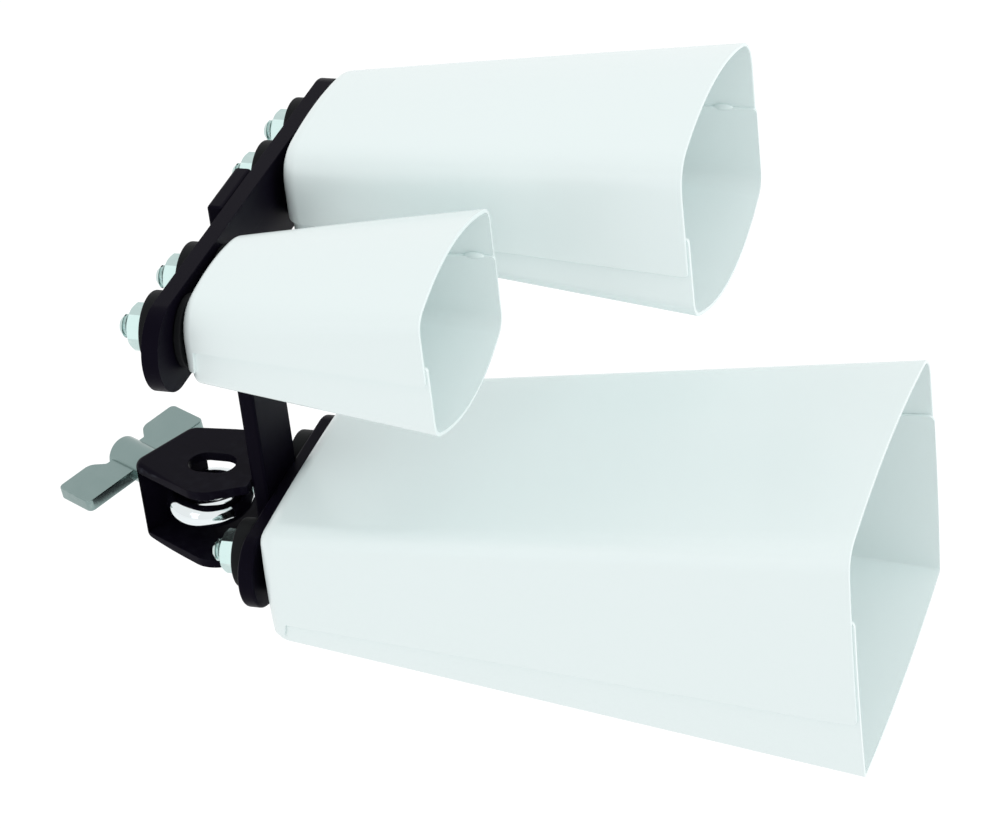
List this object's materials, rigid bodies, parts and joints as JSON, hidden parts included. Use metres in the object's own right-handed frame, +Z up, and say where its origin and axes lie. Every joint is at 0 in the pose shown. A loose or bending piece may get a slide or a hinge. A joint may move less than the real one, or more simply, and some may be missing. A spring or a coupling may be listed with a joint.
{
  "type": "mounted cowbell set",
  "caption": "Graduated sheet-steel cowbells with open mouths, bolted through rubber isolators to a flat black bracket whose slotted rod clamp is tightened by an eye bolt and wing nut",
  "frame": {"origin": "On the upright axis of the stand rod, at the middle of the clamp's slot, level with the eye bolt's stem", "axes": "+X from the bells' closed ends to their mouths, +Y from the small bell to the medium bell along the upper bar, +Z up along the rod"},
  "size_m": [0.2915, 0.1765, 0.1925],
  "materials": {
    "bell_enamel": "gloss white enamel with a faint cool green cast",
    "bracket_coat": "semi-gloss black powder coat",
    "bright_zinc": "bright zinc plate",
    "isolator_rubber": "matt black rubber",
    "eye_chrome": "bright chrome plate",
    "wing_nickel": "satin nickel plate"
  },
  "bodies": {
    "bell_frame": {"large_bell_upper_shell": "bell_enamel", "large_bell_lower_shell": "bell_enamel", "medium_bell_upper_shell": "bell_enamel", "medium_bell_lower_shell": "bell_enamel", "small_bell_upper_shell": "bell_enamel", "small_bell_lower_shell": "bell_enamel", "upper_bar": "bracket_coat", "lower_plate": "bracket_coat", "strap": "bracket_coat", "clamp_bracket": "bracket_coat", "large_bell_bolt_near": "bright_zinc", "large_bell_nut_near": "bright_zinc", "large_bell_inner_washer_near": "bright_zinc", "large_bell_back_isolator_near": "isolator_rubber", "large_bell_front_isolator_near": "isolator_rubber", "large_bell_bolt_far": "bright_zinc", "large_bell_nut_far": "bright_zinc", "large_bell_inner_washer_far": "bright_zinc", "large_bell_back_isolator_far": "isolator_rubber", "large_bell_front_isolator_far": "isolator_rubber", "medium_bell_bolt_near": "bright_zinc", "medium_bell_nut_near": "bright_zinc", "medium_bell_inner_washer_near": "bright_zinc", "medium_bell_back_isolator_near": "isolator_rubber", "medium_bell_front_isolator_near": "isolator_rubber", "medium_bell_bolt_far": "bright_zinc", "medium_bell_nut_far": "bright_zinc", "medium_bell_inner_washer_far": "bright_zinc", "medium_bell_back_isolator_far": "isolator_rubber", "medium_bell_front_isolator_far": "isolator_rubber", "small_bell_bolt_near": "bright_zinc", "small_bell_nut_near": "bright_zinc", "small_bell_inner_washer_near": "bright_zinc", "small_bell_back_isolator_near": "isolator_rubber", "small_bell_front_isolator_near": "isolator_rubber", "small_bell_bolt_far": "bright_zinc", "small_bell_nut_far": "bright_zinc", "small_bell_inner_washer_far": "bright_zinc", "small_bell_back_isolator_far": "isolator_rubber", "small_bell_front_isolator_far": "isolator_rubber", "wing_washer": "bright_zinc", "wing_lock_washer": "bright_zinc"},
    "eye_bolt": {"eye_bolt": "eye_chrome"},
    "wing_nut": {"wing_nut": "wing_nickel"}
  },
  "joints": [
    {"name": "wing_nut_turn", "type": "hinge", "parent": "bell_frame", "child": "wing_nut", "pos_m": [0, 0, 0], "axis": [0.891, -0.454, 0], "range_deg": [-1085, 365]},
    {"name": "eye_bolt_draw", "type": "slide", "parent": "bell_frame", "child": "eye_bolt", "axis": [-0.891, 0.454, 0], "range_m": [-0.00375, 0.00125]}
  ],
  "couplings": [
    {"joint": "wing_nut_turn", "follows": "eye_bolt_draw", "rad_per_m": 5026.5}
  ]
}
